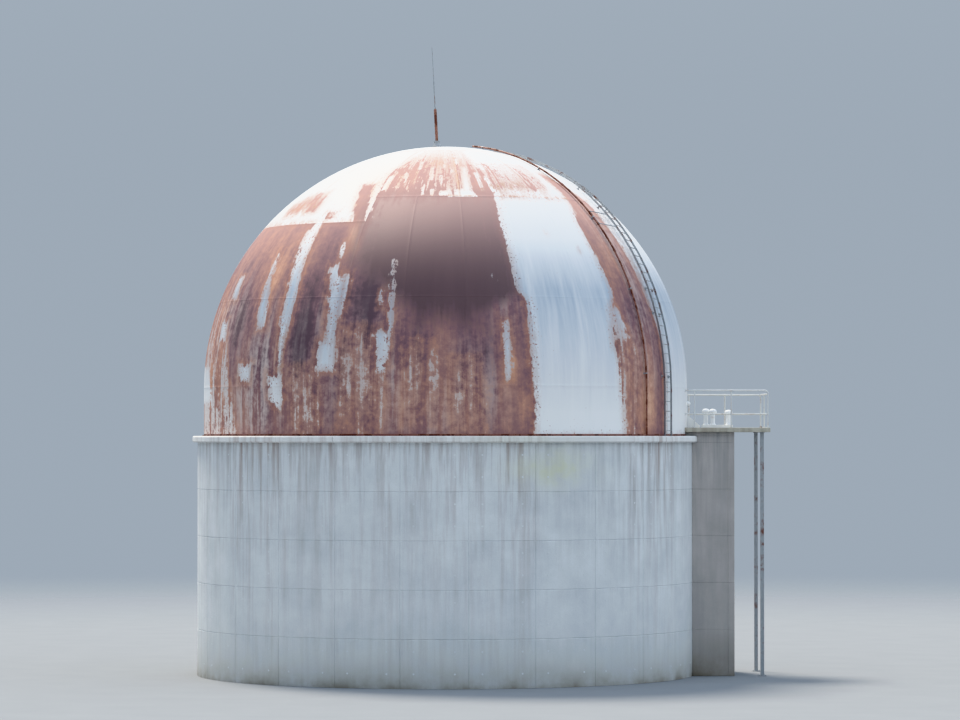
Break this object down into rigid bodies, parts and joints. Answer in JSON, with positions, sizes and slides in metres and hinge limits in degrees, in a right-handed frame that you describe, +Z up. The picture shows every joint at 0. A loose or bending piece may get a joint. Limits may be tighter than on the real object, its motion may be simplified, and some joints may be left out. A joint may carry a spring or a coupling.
{
  "type": "observatory dome",
  "caption": "Weathered steel-plate dome on a round concrete drum, with a crown mast, a flank ladder and a railed deck over a narrow annex.",
  "frame": {"origin": "middle of the footprint's bounding box, at ground level; the drum's axis stands 1.085 m to -X of it", "axes": "+Z up; the side that the picture shows faces -Y; +X towards the annex and its deck"},
  "size_m": [18.13, 15.96, 19.8021],
  "materials": {
    "painted_concrete": "weathered white masonry paint on cast concrete",
    "dome_plate": "white paint worn to brown rust in sheets and runs",
    "galvanised_steel": "dull galvanised, rust at the joints",
    "rusted_pipe": "rust-red pipe",
    "deck_concrete": "yellowish painted concrete edge",
    "rail_paint": "chipped white paint over steel",
    "door_paint": "grey door paint with rust at the edges"
  },
  "bodies": {
    "root": {"drum_wall_1": "painted_concrete", "drum_wall_2": "painted_concrete", "drum_wall_3": "painted_concrete", "drum_wall_4": "painted_concrete", "drum_wall_5": "painted_concrete", "drum_wall_6": "painted_concrete", "drum_wall_7": "painted_concrete", "drum_wall_8": "painted_concrete", "ledge_1": "painted_concrete", "ledge_2": "painted_concrete", "ledge_3": "painted_concrete", "ledge_4": "painted_concrete", "annex_front_wall": "painted_concrete", "annex_back_wall": "painted_concrete", "annex_end_wall": "painted_concrete", "gore_1": "dome_plate", "gore_2": "dome_plate", "gore_3": "dome_plate", "gore_4": "dome_plate", "gore_5": "dome_plate", "gore_6": "dome_plate", "gore_7": "dome_plate", "gore_8": "dome_plate", "crown_plate_1": "dome_plate", "crown_plate_2": "dome_plate", "crown_plate_3": "dome_plate", "crown_plate_4": "dome_plate", "crown_cap": "dome_plate", "skirt_hatch": "dome_plate", "mast_foot": "galvanised_steel", "mast_whip": "galvanised_steel", "ladder_lower": "galvanised_steel", "ladder_middle": "galvanised_steel", "ladder_upper": "galvanised_steel", "ladder_tie_frame": "galvanised_steel", "mast_pipe": "rusted_pipe", "conduit": "rusted_pipe", "deck_slab": "deck_concrete", "deck_post_front": "rail_paint", "deck_post_back": "rail_paint", "guard_rail_front": "rail_paint", "guard_rail_back": "rail_paint", "guard_rail_end": "rail_paint", "hatch_steps": "rail_paint", "roof_vents": "rail_paint", "annex_door": "door_paint"}
  },
  "joints": []
}
